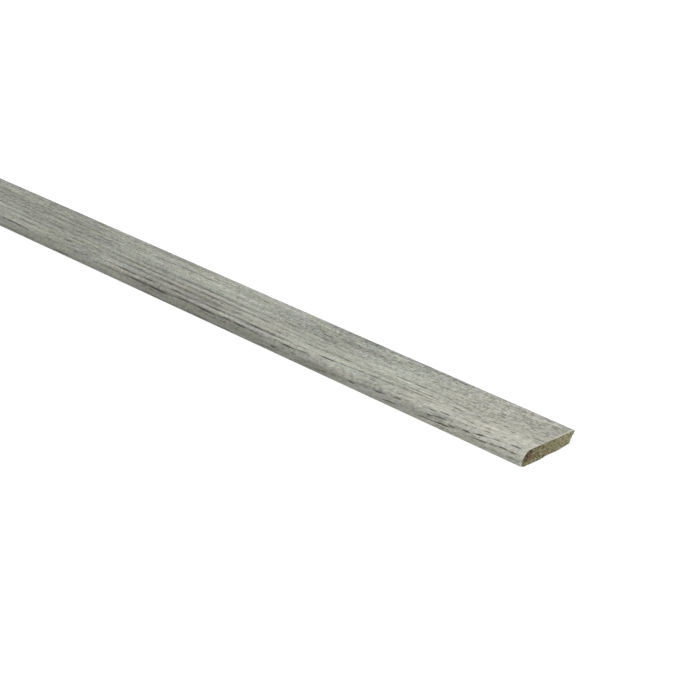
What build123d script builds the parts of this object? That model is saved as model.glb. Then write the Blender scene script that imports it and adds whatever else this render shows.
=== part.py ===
"""Foil-wrapped flat skirting strip, lying on its glue face.

The strip is a fibreboard core of constant section, wrapped in a printed wood-grain foil.
X runs along the strip, Y across it and Z up from the glue face. The origin is the middle
of the glue face. The rounded top edge is at -Y. The floor edge, undercut so that the face
meets the floor first, is at +Y.
"""

import os
from math import cos, radians, sin, tan

from build123d import *

# Finished sizes, foil included, in millimetres and degrees
LENGTH = 2400.0
WIDTH = 24.0
THICKNESS = 5.0
UNDERCUT_ANGLE = 30.0  # lean of the floor edge, from upright

# Foil and the small shapes of the core
FOIL_THICKNESS = 0.2
BEVEL_RISE = 0.5  # height of the bevelled corners beside the glue face, which the foil leaves bare
BEVEL_RUN = 1.2  # width of those bevels
EDGE_STRIP = 0.1  # upright strip of the top edge, between the bevel and the round
CORE_TIP_RADIUS = 0.2  # core's corner between the face and the floor edge

# Worked out from the sizes above
lean = radians(UNDERCUT_ANGLE)
core_face = THICKNESS - FOIL_THICKNESS
core_top_edge = -WIDTH / 2 + FOIL_THICKNESS
round_radius = THICKNESS - BEVEL_RISE - EDGE_STRIP
core_round_radius = round_radius - FOIL_THICKNESS
foil_tip_radius = CORE_TIP_RADIUS + FOIL_THICKNESS
tip_centre = WIDTH / 2 - foil_tip_radius  # of both rounded tips, so that the foil's reaches the full width
tip_reach = 1 / tan((radians(90) - lean) / 2)  # of a sharp corner past that centre, for each mm of radius
foil_tip = tip_centre + foil_tip_radius * tip_reach
core_tip = tip_centre + CORE_TIP_RADIUS * tip_reach
core_floor_stop = core_tip - (core_face - BEVEL_RISE) * tan(lean)


def section_face(*lines):
    """A face across the strip, from lines drawn in (across, up)."""
    return Plane.YZ * make_face(lines)


def along_strip(face):
    """The face drawn out to the strip's length, half each way from the middle."""
    return extrude(face, LENGTH / 2, both=True)


def decor_line(top_edge, face, tip, tip_radius, edge_radius, floor_stop):
    """Open line from the top edge's bevel, over the round, face and tip, to the floor edge's bevel."""
    return FilletPolyline(
        (top_edge, BEVEL_RISE),
        (top_edge, face),
        (tip, face),
        floor_stop,
        radius=[edge_radius, tip_radius],
    )


def core_line():
    """The line where the foil lies on the core."""
    floor_stop = Vector(core_floor_stop, BEVEL_RISE)
    return decor_line(
        core_top_edge, core_face, core_tip, CORE_TIP_RADIUS, core_round_radius, floor_stop
    )


def foil_line():
    """The outside of the foil, which stops square to the core."""
    across_foil = Vector(cos(lean), -sin(lean)) * FOIL_THICKNESS
    floor_stop = Vector(core_floor_stop, BEVEL_RISE) + across_foil
    return decor_line(
        -WIDTH / 2, THICKNESS, foil_tip, foil_tip_radius, round_radius, floor_stop
    )


def fibreboard_core():
    """The core: round on the top edge, sharp tip, leaning floor edge and a glue face between two bevels."""
    decor_side = core_line()
    back = Polyline(
        decor_side @ 1,
        (core_floor_stop - BEVEL_RUN, 0),
        (core_top_edge + BEVEL_RUN, 0),
        decor_side @ 0,
    )
    return along_strip(section_face(decor_side, back))


def decor_foil():
    """The foil, laid on the core from one bevel round to the other."""
    inner, outer = core_line(), foil_line()
    top_end = Line(inner @ 0, outer @ 0)
    floor_end = Line(inner @ 1, outer @ 1)
    return along_strip(section_face(inner, floor_end, outer, top_end))


def main():
    os.makedirs("parts", exist_ok=True)
    export_step(fibreboard_core(), "parts/fibreboard_core.step")
    export_step(decor_foil(), "parts/decor_foil.step")


main()
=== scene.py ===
"""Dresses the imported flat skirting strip: printed foil, sawn fibreboard and a white studio.

The strip lies on its glue face. X runs along it, Y across it and Z up. The sawn end that the camera
looks at is at +X, the rounded edge is at -Y and the undercut floor edge, with its tip, is at +Y.
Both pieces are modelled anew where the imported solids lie, with finer rounds and real saw marks: the
foil with its chipped rims, and the core with its pitted ends. At the near end the saw has broken a
piece out of the back edge and hollowed the undercut, through both.
"""

import math

import bmesh
import bpy
from mathutils import Matrix, Vector, noise


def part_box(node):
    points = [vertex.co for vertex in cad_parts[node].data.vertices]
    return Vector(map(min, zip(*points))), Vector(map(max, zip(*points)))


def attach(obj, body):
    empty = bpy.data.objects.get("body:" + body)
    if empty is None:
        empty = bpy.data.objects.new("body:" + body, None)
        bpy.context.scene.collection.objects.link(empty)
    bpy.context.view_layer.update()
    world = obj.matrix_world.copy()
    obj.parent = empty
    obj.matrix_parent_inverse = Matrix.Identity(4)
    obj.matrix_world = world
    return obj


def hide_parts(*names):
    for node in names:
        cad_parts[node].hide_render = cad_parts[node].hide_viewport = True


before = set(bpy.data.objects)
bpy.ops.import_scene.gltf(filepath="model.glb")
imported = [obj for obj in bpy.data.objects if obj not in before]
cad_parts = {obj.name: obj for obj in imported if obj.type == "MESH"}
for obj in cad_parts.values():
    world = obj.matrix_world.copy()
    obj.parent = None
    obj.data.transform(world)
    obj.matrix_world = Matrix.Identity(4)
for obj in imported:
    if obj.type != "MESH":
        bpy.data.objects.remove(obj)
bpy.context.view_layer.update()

bl_info = {
    "name": "Flat Skirting Strip",
    "version": (1, 0, 0),
    "blender": (4, 5, 0),
    "location": "3D View > Sidebar > Skirting",
    "description": "Models the strip's printed foil and sawn core, and sets its studio",
    "category": "Object",
}

MM = 0.001
IMAGE_SIDE = 700  # pixels of the square picture
SENSOR = 36.0  # millimetres

# Sizes read from the frame
FOIL_LOW, FOIL_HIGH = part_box("decor_foil")
CORE_LOW, CORE_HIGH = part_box("fibreboard_core")
NEAR_END = FOIL_HIGH.x
LENGTH = FOIL_HIGH.x - FOIL_LOW.x
FOIL_THICKNESS = FOIL_HIGH.z - CORE_HIGH.z

# How near counts as the same place
ON_END = 1e-6
POINT_MERGE = 1e-7
CUT_MERGE = 1e-8

SHARP_ANGLE = math.radians(35)  # between faces that meet in a sharp edge

# Rings cut behind each sawn end, by their depth; the saw's damage fades out at the last
END_RINGS = (0.35 * MM, 0.6 * MM, 0.9 * MM, 1.4 * MM)
DAMAGE_DEPTH = END_RINGS[-1]

# Where damage of the near end rises from nothing to its full size
TEAR_STEP = (-3.2 * MM, -0.4 * MM)  # break-out's first rise, across
TEAR_CORNER = (3.5 * MM, 8.8 * MM)  # its second rise, across
HOLLOW_FOOT = (0.8 * MM, 1.4 * MM)  # undercut's hollow, from below
HOLLOW_HEAD = (3.8 * MM, 3.3 * MM)  # and from above
TEAR_REACH = 1.8 * MM  # height below which a sawn end follows its break-out
UNDERCUT_BAND = 1.5 * MM  # width behind the undercut that moves with it

# Sizes of the saw's marks along, across and up, and of the ragged edge across
CHIP_SIZE = (0.3 * MM, 0.5 * MM, 0.5 * MM)
LUMP_SIZE = (1.0, 0.9 * MM, 0.35 * MM)
HOLE_SIZE = (1.0, 0.6 * MM, 0.45 * MM)
RAGGED_SIZE = 0.7 * MM

# Noise at which such a mark starts and is deepest, and shares of the pits
CHIP_RANGE = (0.0, 0.7)
LUMP_RANGE = (-0.1, 0.75)
HOLE_RANGE = (0.1, 0.6)
LUMP_SHARE = 0.45
HOLE_SHARE = 0.7

# Layout of the baked maps, in shares of a map: long sides are folded into rows
FOIL_BAKE_ROWS = 8
FOIL_BAKE_SHARE = 0.9
HIDDEN_BAKE_BAND = (0.91, 0.95)
RIM_BAKE_BANDS = ((0.96, 0.975), (0.98, 0.995))
CORE_BAKE_ROWS = 4
CORE_BAKE_SHARE = 0.5
END_BAKE_BANDS = ((0.51, 0.74), (0.76, 0.99))
ROW_FILL = 0.96

FLOOR_WIDTH = 40.0
FLOOR_DROP = 0.1 * MM
LAMP_HEIGHT = 2.0
CAMERA_CLIP = (0.01, 100.0)

# The print's grain, in millimetres from the near end
BEND_START = 92.0  # it drifts towards the tip from here to the end
BEND_EASE = 40.0
BEND_SLOPE = 0.09
WANDER_RISE = (190.0, 420.0)  # it wanders more and more along here
UNLISTED = (204.0, 224.0)  # the marks listed below give way here to rings and dashes like them
RING_SPACING = 2.75  # across

# Shape of a listed mark: its share of a whole lens, and how soon it is full from its side
MARK_LENS = 0.8
MARK_STEEPNESS = 1.8

# Marks of the print near the end that the camera sees, and a painted shadow line at the foot of the
# round edge, in millimetres:
# where a mark starts and stops, counted from that end, its place across the print at both, its width
# and its strength
CRACKS_AND_SHADOW_LINE = (
    # Two rows along the round edge
    (197, 182, 23.1, 23.1, 0.7, 0.7),
    (183, 171, 23.1, 23.3, 0.85, 1.0),
    (169, 158, 22.8, 22.4, 0.7, 0.75),
    (158, 147, 22.6, 22.9, 0.85, 1.0),
    (143, 137.5, 22.4, 22.4, 0.75, 0.9),
    (137, 130, 22.4, 22.6, 0.8, 1.0),
    (130, 114, 22.7, 22.9, 0.6, 0.5),
    (113, 105, 22.2, 22.1, 0.8, 1.0),
    (104, 99, 21.8, 21.6, 0.7, 0.8),
    (203, 190, 21.5, 21.3, 0.7, 0.8),
    (188, 181, 21.0, 21.0, 0.75, 0.9),
    (172.5, 166, 20.6, 20.6, 0.85, 1.0),
    (166, 153, 20.7, 20.7, 0.5, 0.45),
    (153, 143.5, 20.6, 20.5, 0.85, 1.0),
    (131, 122, 20.3, 20.5, 0.85, 1.0),
    (122, 114, 20.6, 20.6, 0.7, 0.75),
    (107, 101, 20.3, 20.2, 0.55, 0.5),
    (95.5, 86, 20.2, 20.0, 0.85, 1.0),
    (87, 76, 20.0, 19.1, 0.65, 0.85),
    (78.5, 74, 19.1, 19.0, 0.75, 0.9),
    (73, 66.5, 18.8, 18.4, 0.75, 0.85),
    (67, 60.5, 18.4, 18.3, 0.7, 0.85),
    (60, 55, 18.0, 17.5, 0.65, 0.85),
    (56, 48.5, 17.2, 16.8, 0.65, 0.85),
    # Rows along the face
    (205, 192, 15.6, 15.5, 0.65, 0.6),
    (192, 183, 15.4, 15.4, 0.7, 0.7),
    (162, 153, 15.1, 15.1, 0.7, 0.7),
    (131, 125.5, 15.0, 15.0, 0.75, 0.75),
    (114.5, 108, 14.7, 14.7, 0.65, 0.6),
    (103.5, 97, 14.6, 14.6, 0.7, 0.75),
    (79, 74, 14.2, 14.2, 0.7, 0.75),
    (66, 58, 12.95, 12.7, 0.65, 0.85),
    (58, 51, 12.7, 12.4, 0.75, 0.9),
    (44.5, 40, 12.0, 12.5, 0.65, 0.7),
    (40, 31, 13.1, 13.3, 0.6, 0.8),
    (27.8, 25, 14.8, 14.8, 0.65, 0.8),
    (21.5, 19.2, 14.0, 14.1, 0.6, 0.9),
    (189, 183, 12.4, 12.4, 0.6, 0.5),
    (178, 169, 12.4, 12.4, 0.7, 0.75),
    (168, 155, 12.3, 12.2, 0.65, 0.65),
    (200, 190, 18.2, 18.2, 0.65, 0.6),
    (182, 172, 18.1, 18.1, 0.7, 0.7),
    (169, 163, 18.0, 18.0, 0.65, 0.6),
    (153, 146.5, 17.9, 17.9, 0.7, 0.75),
    (143.5, 137.5, 17.5, 17.5, 0.7, 0.8),
    (136, 130, 18.2, 18.2, 0.6, 0.6),
    (120, 115, 17.9, 17.9, 0.65, 0.75),
    (105.5, 101, 17.2, 17.2, 0.6, 0.7),
    (100, 92.5, 16.8, 16.8, 0.55, 0.45),
    (89.5, 82, 16.3, 15.9, 0.7, 0.85),
    (57, 51, 15.5, 15.6, 0.6, 0.6),
    (51, 44, 15.7, 15.5, 0.6, 0.6),
    (37.5, 32, 15.6, 15.5, 0.7, 0.85),
    (24, 20.5, 16.2, 16.2, 0.6, 0.65),
    # Short cracks near the end, where the face meets the round
    (49.5, 43, 19.0, 18.5, 0.55, 0.4),
    (27.5, 23, 19.5, 19.5, 0.65, 0.75),
    (70.5, 67, 20.5, 20.5, 0.6, 0.6),
    (42, 38.5, 21.4, 21.2, 0.65, 0.85),
    (37.5, 33, 20.7, 20.6, 0.7, 0.85),
    (22.5, 21, 20.9, 20.9, 0.55, 0.6),
    (19.5, 15, 20.3, 20.2, 0.6, 0.65),
    (12.2, 10.6, 19.1, 19.1, 0.5, 0.6),
    (14, 10, 21.8, 21.5, 0.65, 0.8),
    (7, 1.8, 20.9, 21.0, 0.7, 0.9),
    # Short cracks on the round edge, most of them near the end
    (41.8, 39, 23.3, 23.25, 0.75, 1.0),
    (39, 32.5, 22.8, 22.5, 0.7, 0.85),
    (32, 28.2, 23.6, 23.6, 0.7, 0.85),
    (26.5, 21.8, 23.2, 23.0, 0.8, 1.0),
    (20.5, 16.5, 22.6, 22.1, 0.85, 1.0),
    (66, 60.5, 23.5, 23.2, 0.75, 0.9),
    (57.5, 53, 22.9, 22.6, 0.7, 0.85),
    (77.8, 74.2, 24.2, 24.2, 0.75, 0.95),
    (38, 31, 24.4, 24.2, 0.8, 1.0),
    (19, 15, 24.0, 23.8, 0.65, 0.8),
    (14, 11.5, 23.5, 23.5, 0.6, 0.75),
    (10.5, 6.5, 23.1, 23.1, 0.7, 0.9),
    (6, 2.8, 23.2, 23.2, 0.7, 0.9),
    (61.5, 54.5, 25.0, 24.6, 0.65, 0.75),
    (46, 40, 25.0, 24.4, 0.6, 0.6),
    (116.5, 112.8, 24.3, 24.3, 0.75, 0.95),
    # Slanting cracks by the tip, and faint dashes further on
    (125, 121.5, 9.4, 10.5, 0.6, 0.6),
    (122, 116, 10.5, 11.1, 0.65, 0.7),
    (108, 101.5, 7.1, 8.1, 0.7, 0.9),
    (105, 101.5, 9.3, 11.0, 0.6, 0.5),
    (202, 194, 6.6, 6.2, 0.9, 0.4),
    (191, 188.5, 5.7, 5.6, 0.8, 0.3),
    (182, 176.5, 5.6, 5.6, 0.9, 0.35),
    (172, 167.5, 5.5, 5.6, 0.9, 0.45),
    (143, 138.5, 3.9, 3.9, 0.9, 0.45),
    (136.5, 133.5, 6.2, 6.2, 0.7, 0.3),
    (213, 204, 7.6, 7.3, 0.8, 0.3),
    # Painted shadow line along the foot of the round edge, by the floor
    (186, 166, 25.8, 25.8, 0.5, 0.6),
    (160, 148, 25.75, 25.75, 0.5, 0.8),
    (146, 134, 25.75, 25.75, 0.5, 0.7),
    (125, 113, 25.7, 25.2, 0.5, 0.6),
    (104, 98, 25.2, 25.0, 0.6, 0.4),
    # Flecks beside the end
    (58, 54, 18.6, 18.2, 0.6, 0.4),
    (48.5, 44.5, 16.8, 16.5, 0.6, 0.5),
    (48, 41, 18.4, 18.1, 0.6, 0.5),
    (37, 34, 17.6, 17.5, 0.6, 0.4),
    (34, 28, 10.9, 11.1, 0.9, 0.35),
    (33.5, 31, 5.9, 6.2, 0.8, 0.4),
    (26.5, 24.5, 5.2, 5.2, 0.7, 0.4),
    (26, 24, 10.0, 10.2, 0.9, 0.4),
    (22.5, 20, 9.0, 9.6, 1.0, 0.45),
    (20.6, 19.4, 14.0, 14.0, 0.7, 0.6),
    (20, 16.5, 18.7, 18.6, 0.6, 0.75),
    (19, 17, 11.4, 11.3, 0.9, 0.35),
    (17.5, 14.5, 13.7, 13.6, 0.6, 0.75),
    (14, 12.6, 9.6, 9.8, 0.8, 0.35),
    (12.6, 10.4, 14.9, 14.8, 0.7, 0.75),
    (12, 9, 7.6, 7.9, 0.9, 0.35),
    (12, 10.2, 19.0, 19.3, 0.6, 0.85),
    (9, 7.2, 18.6, 18.5, 0.6, 0.75),
    (8, 6.5, 6.0, 6.2, 0.8, 0.4),
    (5.5, 0.5, 13.0, 12.8, 0.9, 0.45),
    (5, 3, 8.2, 8.4, 0.8, 0.35),
    (4, 0.5, 14.4, 14.3, 0.8, 0.4),
    (2.6, 0.6, 5.0, 5.1, 0.7, 0.4),
    (2.2, 0.7, 3.2, 3.2, 0.7, 0.45),
    (3.4, 1.4, 7.0, 7.1, 0.7, 0.35),
    # Thin lines that join the cracks of the round edge
    (45, 33, 21.9, 20.5, 0.45, 0.5),
    (44, 31.5, 23.6, 22.3, 0.45, 0.55),
    (47, 30, 25.0, 24.0, 0.5, 0.5),
    (31, 20, 23.75, 22.85, 0.45, 0.55),
    (27, 13, 24.6, 23.5, 0.45, 0.5),
    (22, 9, 22.75, 21.3, 0.45, 0.5),
    (15, 2, 23.6, 23.1, 0.4, 0.5),
    # Dashes along the tip, thin lines on the face and flecks low on the round edge
    (66, 60, 0.9, 0.9, 0.7, 0.45),
    (60, 53, 1.1, 1.1, 0.6, 0.4),
    (51.5, 44, 0.9, 1.3, 0.8, 0.5),
    (75, 63, 14.1, 13.5, 0.5, 0.4),
    (96, 84, 16.7, 16.1, 0.5, 0.35),
    (37, 31, 25.2, 25.0, 0.8, 0.35),
    (27, 23.5, 25.4, 25.3, 0.8, 0.35),
    (22, 18, 24.9, 24.8, 0.8, 0.35),
    (17, 14.5, 25.4, 25.3, 0.7, 0.3),
    (13, 9.5, 25.1, 25.0, 0.8, 0.35),
    (6, 2, 24.8, 24.9, 1.0, 0.35),
)
SOFT_LINES = (
    (218, 100, 15.6, 14.8, 1.5, 0.55),
    (108, 40, 14.7, 11.9, 1.0, 0.3),
    (218, 128, 12.5, 12.0, 1.3, 0.45),
    (140, 104, 11.0, 10.5, 1.6, 0.28),
    (218, 135, 18.3, 17.9, 1.3, 0.4),
    (136, 82, 18.0, 16.0, 0.9, 0.35),
    (84, 32, 16.0, 15.4, 1.0, 0.3),
    (218, 160, 21.4, 20.7, 1.2, 0.7),
    (170, 100, 20.6, 20.3, 1.2, 0.65),
    (100, 48, 20.3, 16.8, 1.1, 0.55),
    (218, 160, 23.3, 22.7, 1.3, 0.75),
    (170, 98, 22.8, 22.0, 1.3, 0.7),
    (100, 40, 25.6, 21.3, 1.2, 0.65),
    (62, 16, 25.0, 22.2, 1.2, 0.55),
    (42, -4, 24.6, 22.8, 1.2, 0.6),
    (42, -4, 21.3, 20.7, 1.0, 0.3),
    (30, -4, 25.8, 24.6, 1.4, 0.4),
    (218, 140, 6.8, 4.2, 1.3, 0.3),
    (218, 140, 10.6, 7.9, 1.2, 0.25),
    (212, 178, 1.2, 0.5, 1.2, 0.4),
    (132, 84, 0.9, 0.6, 1.6, 0.35),
    (80, 40, 1.0, 0.8, 1.8, 0.4),
)
LIGHT_LINES = (
    (170, 100, 21.6, 21.3, 1.1, 0.5),
    (218, 95, 13.9, 13.6, 1.3, 0.4),
    (218, 120, 16.8, 16.5, 1.2, 0.35),
    (218, 150, 19.4, 19.4, 1.2, 0.35),
    (150, 100, 19.2, 19.0, 1.2, 0.35),
    (105, 50, 19.4, 16.0, 1.2, 0.45),
    (40, -4, 20.0, 17.6, 1.6, 0.3),
    (70, 40, 22.5, 20.4, 1.2, 0.3),
    (190, 140, 10.9, 9.8, 1.2, 0.28),
    (172, 138, 7.0, 6.2, 1.2, 0.25),
    (212, 180, 4.2, 3.4, 1.4, 0.25),
    (45, 22, 25.8, 23.9, 0.9, 0.35),
    (26, -4, 21.6, 19.2, 1.0, 0.3),
    (66, 44, 11.6, 11.2, 1.0, 0.35),
    (64, 44, 13.7, 13.2, 1.0, 0.4),
    (60, 40, 16.5, 16.0, 0.9, 0.35),
    (28, 14, 17.6, 17.0, 1.6, 0.45),
    (13, 7, 16.0, 15.6, 1.2, 0.45),
    (47, 30, 19.4, 18.6, 1.4, 0.3),
    (52, 38, 8.8, 7.6, 1.6, 0.25),
    (42, 28, 14.6, 14.4, 1.0, 0.5),
    (45, 28, 20.1, 19.8, 0.9, 0.35),
)
# Broad patches of the print, from the same end: middle along and across, reach each way, and amount
TONE_PATCHES = (
    (8, 18, 60, 7, 0.15),
    (20, 4.5, 30, 3, 0.06),
    (1, 3.6, 6, 3, -0.12),
    (12, 25, 40, 4.5, 0.27),
    (62, 12, 34, 5, 0.1),
    (75, 1, 45, 3, -0.06),
    (95, 19, 26, 2, 0.14),
    (100, 1, 30, 2.5, -0.06),
    (108, 10, 36, 11, -0.09),
    (96, 7.8, 26, 2.5, 0.12),
    (95, 6, 5, 1.8, -0.13),
    (110, 6.6, 5, 2, -0.13),
    (100, 10, 9, 1.8, -0.08),
    (88, 1, 5, 2, -0.12),
    (75, 1.4, 5, 2, 0.12),
    (102, 10.8, 26, 2.5, -0.06),
    (140, 25, 70, 5.5, -0.13),
    (150, 3, 40, 5, 0.08),
    (60, 21.8, 26, 3, -0.08),
    (94, 24.6, 8, 1.5, -0.1),
    (105, 20.8, 26, 1.5, -0.06),
    (155, 20, 48, 3, -0.12),
    (175, 17, 62, 7, -0.14),
    (190, 13, 150, 30, -0.07),
)
BLUSH_PATCHES = (
    (20, 12, 40, 22, 0.7),
    (51, 19, 9, 8, 0.6),
    (60, 24, 8, 3, 0.7),
    (96, 21, 8, 4, 0.6),
    (122, 17, 12, 9, 0.8),
    (160, 18, 26, 7, 0.8),
    (190, 23, 22, 4, 0.8),
)
COOL_PATCHES = (
    (66, 1, 14, 3, 0.8),
    (85, 6, 12, 7, 0.6),
    (124, 5, 16, 6, 0.7),
    (146, 7, 10, 4, 0.6),
    (195, 9, 14, 8, 0.6),
)
# Layers of streaks and flecks: size along and across the grain in millimetres, and amount
PRINT_LAYERS = (
    (80, 5, 0.4),
    (34, 1.5, 0.6),
    (9, 1.1, 0.6),
    (2.6, 0.9, 1.05),
    (0.9, 0.6, 1.25),
)
LAYER_STEP = 3.7  # between the layers' places in the noise
LONGEST_FLECK = 10  # along the grain: longer marks are streaks
PORE_SIZES = ((3.2, 0.95), (1.7, 0.75))  # spacing along and across the grain


class SectionSettings(bpy.types.PropertyGroup):
    """Shapes across the strip that the frame's boxes don't give."""

    undercut: bpy.props.FloatProperty(
        name="Undercut", description="Lean of the floor edge, from upright",
        default=math.radians(30), subtype="ANGLE", unit="ROTATION",
    )
    bevel_rise: bpy.props.FloatProperty(
        name="Bevel rise", description="Height of the bare bevelled corners beside the glue face",
        default=0.5 * MM, subtype="DISTANCE", unit="LENGTH", precision=5,
    )
    bevel_run: bpy.props.FloatProperty(
        name="Bevel run", description="Width of those bevels",
        default=1.2 * MM, subtype="DISTANCE", unit="LENGTH", precision=5,
    )
    edge_strip: bpy.props.FloatProperty(
        name="Edge strip", description="Upright strip between the top edge's bevel and its round",
        default=0.1 * MM, subtype="DISTANCE", unit="LENGTH", precision=5,
    )
    core_tip_radius: bpy.props.FloatProperty(
        name="Core tip radius", description="Radius of the core between its face and floor edge",
        default=0.2 * MM, subtype="DISTANCE", unit="LENGTH", precision=5,
    )
    arc_step: bpy.props.FloatProperty(
        name="Arc step", description="Turn of a round edge from one facet to the next",
        default=math.radians(4), subtype="ANGLE", unit="ROTATION",
    )
    tear: bpy.props.FloatProperty(
        name="Tear", description="Height that broke out of the back edge at the near end, at most",
        default=0.82 * MM, subtype="DISTANCE", unit="LENGTH", precision=5,
    )
    crush: bpy.props.FloatProperty(
        name="Crush", description="Depth of the hollow in the undercut at the near end",
        default=0.34 * MM, subtype="DISTANCE", unit="LENGTH", precision=5,
    )
    ragged: bpy.props.FloatProperty(
        name="Ragged", description="Rough height of the back edge at both sawn ends",
        default=0.03 * MM, subtype="DISTANCE", unit="LENGTH", precision=5,
    )


class FoilSettings(bpy.types.PropertyGroup):
    """Print, painted shadow and highlights, and saw cut of the foil."""

    light_grain: bpy.props.FloatVectorProperty(
        name="Light grain", description="Palest wood of the print",
        default=(0.448, 0.463, 0.388), subtype="COLOR", size=3, min=0, max=1,
    )
    dark_grain: bpy.props.FloatVectorProperty(
        name="Dark grain", description="Darkest wood of the print, cracks apart",
        default=(0.109, 0.1135, 0.0945), subtype="COLOR", size=3, min=0, max=1,
    )
    cool_grain: bpy.props.FloatVectorProperty(
        name="Cool grain", description="Tint of the weathered stretches",
        default=(0.945, 0.945, 1.0), subtype="COLOR", size=3, min=0, max=1,
    )
    blush_grain: bpy.props.FloatVectorProperty(
        name="Blush grain", description="Tint of the warmer stretches",
        default=(1.0, 0.945, 0.965), subtype="COLOR", size=3, min=0, max=1,
    )
    # Colour of the cracks, which also paints the shadow line at the foot of the round edge
    crack_and_shadow: bpy.props.FloatVectorProperty(
        name="Crack And Shadow", description="Bottom of the printed cracks",
        default=(0.035, 0.033, 0.026), subtype="COLOR", size=3, min=0, max=1,
    )
    cut_edge: bpy.props.FloatVectorProperty(
        name="Cut edge", description="Pale backing that shows where the foil is sawn",
        default=(0.8, 0.79, 0.7), subtype="COLOR", size=3, min=0, max=1,
    )
    dirty_edge: bpy.props.FloatVectorProperty(
        name="Dirty edge", description="Backing browned by the saw, between the tip and the round",
        default=(0.3, 0.27, 0.2), subtype="COLOR", size=3, min=0, max=1,
    )
    # Painted highlight: pale colour along the sawn rims of the print, in place of the light caught on
    # those edges
    rim_highlight: bpy.props.FloatVectorProperty(
        name="Rim Highlight", description="Print rubbed pale along the sawn rims",
        default=(0.76, 0.75, 0.64), subtype="COLOR", size=3, min=0, max=1,
    )
    rim_chip: bpy.props.FloatProperty(
        name="Rim chip", description="Deepest notch that the saw left in the foil's rim",
        default=0.16 * MM, subtype="DISTANCE", unit="LENGTH", precision=5,
    )
    grid: bpy.props.FloatProperty(
        name="Grid", description="Mesh step of the sawn rims",
        default=0.2 * MM, subtype="DISTANCE", unit="LENGTH", precision=5,
    )
    emboss: bpy.props.FloatProperty(
        name="Emboss", description="Depth of the pores and cracks pressed into the foil",
        default=0.05 * MM, subtype="DISTANCE", unit="LENGTH", precision=5,
    )


class CoreSettings(bpy.types.PropertyGroup):
    """Fibreboard colours, painted shade and saw marks."""

    fibre: bpy.props.FloatVectorProperty(
        name="Fibre", description="Sawn fibreboard",
        default=(0.29, 0.262, 0.15), subtype="COLOR", size=3, min=0, max=1,
    )
    olive: bpy.props.FloatVectorProperty(
        name="Olive", description="Greener stretches of the sawn board",
        default=(0.265, 0.275, 0.135), subtype="COLOR", size=3, min=0, max=1,
    )
    russet: bpy.props.FloatVectorProperty(
        name="Russet", description="Browner patch beside the round edge",
        default=(0.182, 0.087, 0.054), subtype="COLOR", size=3, min=0, max=1,
    )
    # Painted shadow: the dark arc inside the near end's round, just within the foil
    painted_arc_shadow: bpy.props.FloatVectorProperty(
        name="Arc Shadow", description="Dark line that the saw burnt inside the round",
        default=(0.032, 0.023, 0.018), subtype="COLOR", size=3, min=0, max=1,
    )
    torn_fibre: bpy.props.FloatVectorProperty(
        name="Torn fibre", description="Pale fibres that the saw tore out",
        default=(0.45, 0.42, 0.295), subtype="COLOR", size=3, min=0, max=1,
    )
    # Dark colour of the specks and of a stretch beside the round; it also paints shade into the pits,
    # by their depth
    pit: bpy.props.FloatVectorProperty(
        name="Pit", description="Bottom of the pits between torn fibres",
        default=(0.07, 0.055, 0.025), subtype="COLOR", size=3, min=0, max=1,
    )
    sanded: bpy.props.FloatVectorProperty(
        name="Sanded", description="Glue face, sanded smooth",
        default=(0.42, 0.33, 0.20), subtype="COLOR", size=3, min=0, max=1,
    )
    grid: bpy.props.FloatProperty(
        name="Grid", description="Mesh step of the sawn ends",
        default=0.125 * MM, subtype="DISTANCE", unit="LENGTH", precision=5,
    )
    pit_depth: bpy.props.FloatProperty(
        name="Pit depth", description="Deepest pit of the sawn ends",
        default=0.3 * MM, subtype="DISTANCE", unit="LENGTH", precision=5,
    )


class StageSettings(bpy.types.PropertyGroup):
    """Floor, light and camera."""

    floor: bpy.props.FloatVectorProperty(
        name="Floor", description="Plain pale floor, lit from below",
        default=(0.1, 0.1, 0.1), subtype="COLOR", size=3, min=0, max=1,
    )
    floor_glow: bpy.props.FloatProperty(
        name="Floor glow", description="Light that comes up through the floor", default=0.97, min=0,
    )
    sky: bpy.props.FloatProperty(
        name="Sky", description="Even light from all sides", default=0.15, min=0,
    )
    key: bpy.props.FloatProperty(
        name="Key", description="Strength of the wide soft light overhead", default=4.25, min=0,
    )
    key_spread: bpy.props.FloatProperty(
        name="Key spread", description="Angle that the soft light fills overhead",
        default=math.radians(70), subtype="ANGLE", unit="ROTATION",
    )
    pitch: bpy.props.FloatProperty(
        name="Pitch", description="Camera's look down from level",
        default=math.radians(24.283), subtype="ANGLE", unit="ROTATION",
    )
    heading: bpy.props.FloatProperty(
        name="Heading", description="Camera's turn from looking straight across the strip",
        default=math.radians(47.374), subtype="ANGLE", unit="ROTATION",
    )
    lens: bpy.props.FloatProperty(
        name="Lens", description="Focal length", default=116.288, unit="CAMERA",
    )
    depth: bpy.props.FloatProperty(
        name="Depth", description="Distance ahead of the camera to the floor under the near tip",
        default=697.58 * MM, subtype="DISTANCE", unit="LENGTH",
    )
    tip_pixel: bpy.props.FloatVectorProperty(
        name="Tip pixel", description="Where the picture shows the floor under the near tip",
        default=(574.29, 444.26), size=2,
    )


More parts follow.
